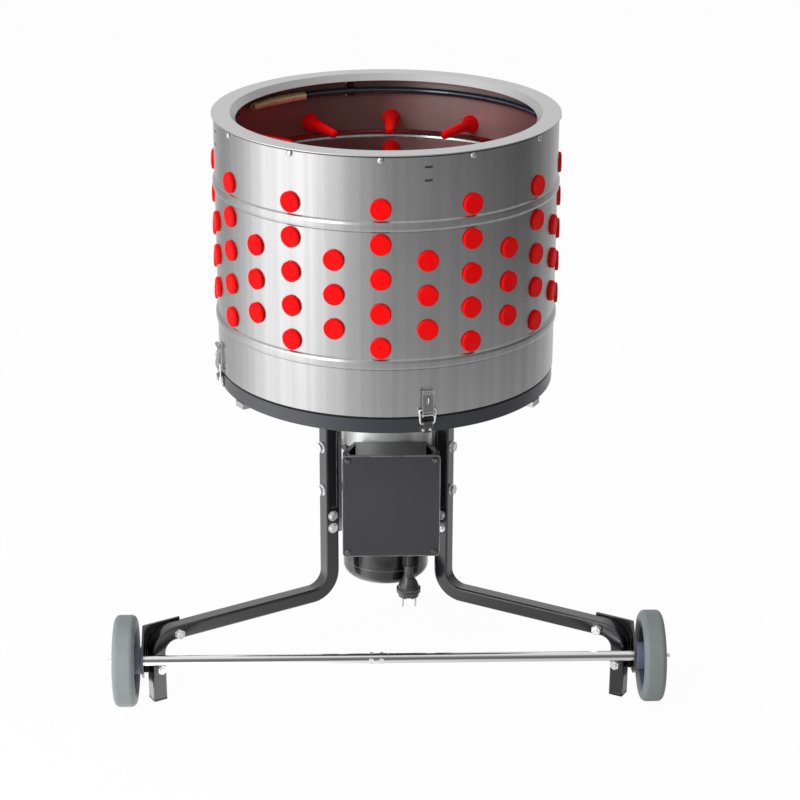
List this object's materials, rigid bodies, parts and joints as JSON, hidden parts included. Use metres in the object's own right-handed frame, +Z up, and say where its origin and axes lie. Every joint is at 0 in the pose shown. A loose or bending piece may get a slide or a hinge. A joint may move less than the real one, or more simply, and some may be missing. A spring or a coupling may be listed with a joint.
{
  "type": "poultry plucker",
  "caption": "Finger-lined steel drum poultry plucker with a spinning finger plate, geared motor below, three tube legs, two wheels, latches and a water ring.",
  "frame": {"origin": "on the floor, at the centre of the whole outline seen from above; the drum's axis is 59.5 mm in front of it", "axes": "+Z up along the drum's axis, +X to the object's right seen from the front, front (the wheels and the control box) towards -Y"},
  "size_m": [0.832, 0.699, 0.848],
  "materials": {
    "steel_sheet": "brushed stainless sheet",
    "steel_plate": "turned stainless plate",
    "red_rubber": "moulded, smooth heads",
    "black_rubber": "plain",
    "hose": "smooth dark hose",
    "brass": "machined",
    "zinc_steel": "zinc plated",
    "fasteners": "bright zinc",
    "black_screws": "black oxide",
    "alloy": "cast, fine grain",
    "black_coat": "fine powder coat",
    "pan_coat": "satin powder coat",
    "motor_coat": "satin paint",
    "box_coat": "grey powder coat",
    "cover_coat": "fine powder coat",
    "gear_steel": "hobbed and oiled",
    "core_steel": "laminated core",
    "copper": "varnished winding on a laminated core",
    "chrome_tube": "polished",
    "tyre_rubber": "grey solid tyre",
    "wheel_plastic": "moulded",
    "black_plastic": "moulded",
    "red_plastic": "moulded",
    "pale_plastic": "moulded",
    "latch_steel": "bright plated",
    "plug_metal": "nickel plated"
  },
  "bodies": {
    "frame": {"base_pan": "pan_coat", "pan_seal": "black_rubber", "drum_shell": "steel_sheet", "rim_ring": "steel_sheet", "rim_screws": "black_screws", "drum_fingers": "red_rubber", "water_hose": "hose", "hose_connector": "brass", "hose_clips": "zinc_steel", "motor_body": "motor_coat", "stator": "copper", "fan_cover": "motor_coat", "gear_housing": "alloy", "ring_gear": "gear_steel", "shaft_seal": "black_rubber", "ball_bearings": "gear_steel", "box_body": "box_coat", "box_cover": "cover_coat", "box_screws": "black_screws", "capacitor": "alloy", "terminal_block": "pale_plastic", "switch_body": "black_plastic", "cable_gland": "black_plastic", "power_cord": "black_rubber", "plug_body": "black_plastic", "plug_pins": "plug_metal", "leg_front_left": "black_coat", "leg_front_right": "black_coat", "leg_rear": "black_coat", "foot_plugs": "black_plastic", "pan_brackets": "zinc_steel", "frame_bolts": "fasteners", "wheel_brackets": "black_coat", "axle_tubes": "chrome_tube", "axle_spigot": "core_steel", "latch_plates": "zinc_steel", "latch_hooks": "black_coat"},
    "spinner": {"feather_plate": "steel_plate", "plate_fingers": "red_rubber", "plate_nut": "fasteners", "output_carrier": "gear_steel"},
    "rotor": {"rotor_shaft": "gear_steel", "rotor_core": "core_steel", "cooling_fan": "black_plastic"},
    "planet_1": {"planet_gear_1": "gear_steel"},
    "planet_2": {"planet_gear_2": "gear_steel"},
    "planet_3": {"planet_gear_3": "gear_steel"},
    "wheel_left": {"tyre_left": "tyre_rubber", "rim_left": "wheel_plastic"},
    "wheel_right": {"tyre_right": "tyre_rubber", "rim_right": "wheel_plastic"},
    "rocker": {"switch_rocker": "red_plastic"},
    "lever_1": {"latch_lever_1": "latch_steel"},
    "lever_2": {"latch_lever_2": "latch_steel"},
    "lever_3": {"latch_lever_3": "latch_steel"},
    "lever_4": {"latch_lever_4": "latch_steel"},
    "bail_1": {"latch_bail_1": "latch_steel"},
    "bail_2": {"latch_bail_2": "latch_steel"},
    "bail_3": {"latch_bail_3": "latch_steel"},
    "bail_4": {"latch_bail_4": "latch_steel"}
  },
  "joints": [
    {"name": "plate_spin", "type": "hinge", "parent": "frame", "child": "spinner", "pos_m": [0, -0.0595, 0.47], "axis": [0, 0, 1], "continuous": true},
    {"name": "rotor_spin", "type": "hinge", "parent": "frame", "child": "rotor", "pos_m": [0, -0.0595, 0.3], "axis": [0, 0, 1], "continuous": true},
    {"name": "planet_1_spin", "type": "hinge", "parent": "spinner", "child": "planet_1", "pos_m": [0.039, -0.0595, 0.39], "axis": [0, 0, 1], "continuous": true},
    {"name": "planet_2_spin", "type": "hinge", "parent": "spinner", "child": "planet_2", "pos_m": [-0.0195, -0.02573, 0.39], "axis": [0, 0, 1], "continuous": true},
    {"name": "planet_3_spin", "type": "hinge", "parent": "spinner", "child": "planet_3", "pos_m": [-0.0195, -0.09327, 0.39], "axis": [0, 0, 1], "continuous": true},
    {"name": "wheel_left_spin", "type": "hinge", "parent": "frame", "child": "wheel_left", "pos_m": [-0.3875, -0.282, 0.0745], "axis": [1, 0, 0], "continuous": true},
    {"name": "wheel_right_spin", "type": "hinge", "parent": "frame", "child": "wheel_right", "pos_m": [0.3875, -0.282, 0.0745], "axis": [1, 0, 0], "continuous": true},
    {"name": "rocker_tilt", "type": "hinge", "parent": "frame", "child": "rocker", "pos_m": [-0.042, -0.1595, 0.208], "axis": [1, 0, 0], "range_deg": [0, 20]},
    {"name": "lever_1_swing", "type": "hinge", "parent": "frame", "child": "lever_1", "pos_m": [0.05293, -0.30854, 0.4715], "axis": [0.9781, 0.2079, 0], "range_deg": [0, 80]},
    {"name": "bail_1_swing", "type": "hinge", "parent": "lever_1", "child": "bail_1", "pos_m": [0.05283, -0.30805, 0.47948], "axis": [0.9781, 0.2079, 0], "range_deg": [-55, 0]},
    {"name": "lever_2_swing", "type": "hinge", "parent": "frame", "child": "lever_2", "pos_m": [0.24904, -0.00657, 0.4715], "axis": [-0.2079, 0.9781, 0], "range_deg": [0, 80]},
    {"name": "bail_2_swing", "type": "hinge", "parent": "lever_2", "child": "bail_2", "pos_m": [0.24854, -0.00667, 0.47948], "axis": [-0.2079, 0.9781, 0], "range_deg": [-55, 0]},
    {"name": "lever_3_swing", "type": "hinge", "parent": "frame", "child": "lever_3", "pos_m": [-0.05293, 0.18954, 0.4715], "axis": [-0.9781, -0.2079, 0], "range_deg": [0, 80]},
    {"name": "bail_3_swing", "type": "hinge", "parent": "lever_3", "child": "bail_3", "pos_m": [-0.05283, 0.18904, 0.47948], "axis": [-0.9781, -0.2079, 0], "range_deg": [-55, 0]},
    {"name": "lever_4_swing", "type": "hinge", "parent": "frame", "child": "lever_4", "pos_m": [-0.24904, -0.11243, 0.4715], "axis": [0.2079, -0.9781, 0], "range_deg": [0, 80]},
    {"name": "bail_4_swing", "type": "hinge", "parent": "lever_4", "child": "bail_4", "pos_m": [-0.24854, -0.11233, 0.47948], "axis": [0.2079, -0.9781, 0], "range_deg": [-55, 0]}
  ],
  "couplings": [
    {"joint": "rotor_spin", "follows": "plate_spin", "ratio": 4.3333},
    {"joint": "planet_1_spin", "follows": "plate_spin", "ratio": -2.8571},
    {"joint": "planet_2_spin", "follows": "plate_spin", "ratio": -2.8571},
    {"joint": "planet_3_spin", "follows": "plate_spin", "ratio": -2.8571},
    {"joint": "bail_1_swing", "follows": "lever_1_swing", "ratio": -0.68},
    {"joint": "bail_2_swing", "follows": "lever_2_swing", "ratio": -0.68},
    {"joint": "bail_3_swing", "follows": "lever_3_swing", "ratio": -0.68},
    {"joint": "bail_4_swing", "follows": "lever_4_swing", "ratio": -0.68}
  ]
}
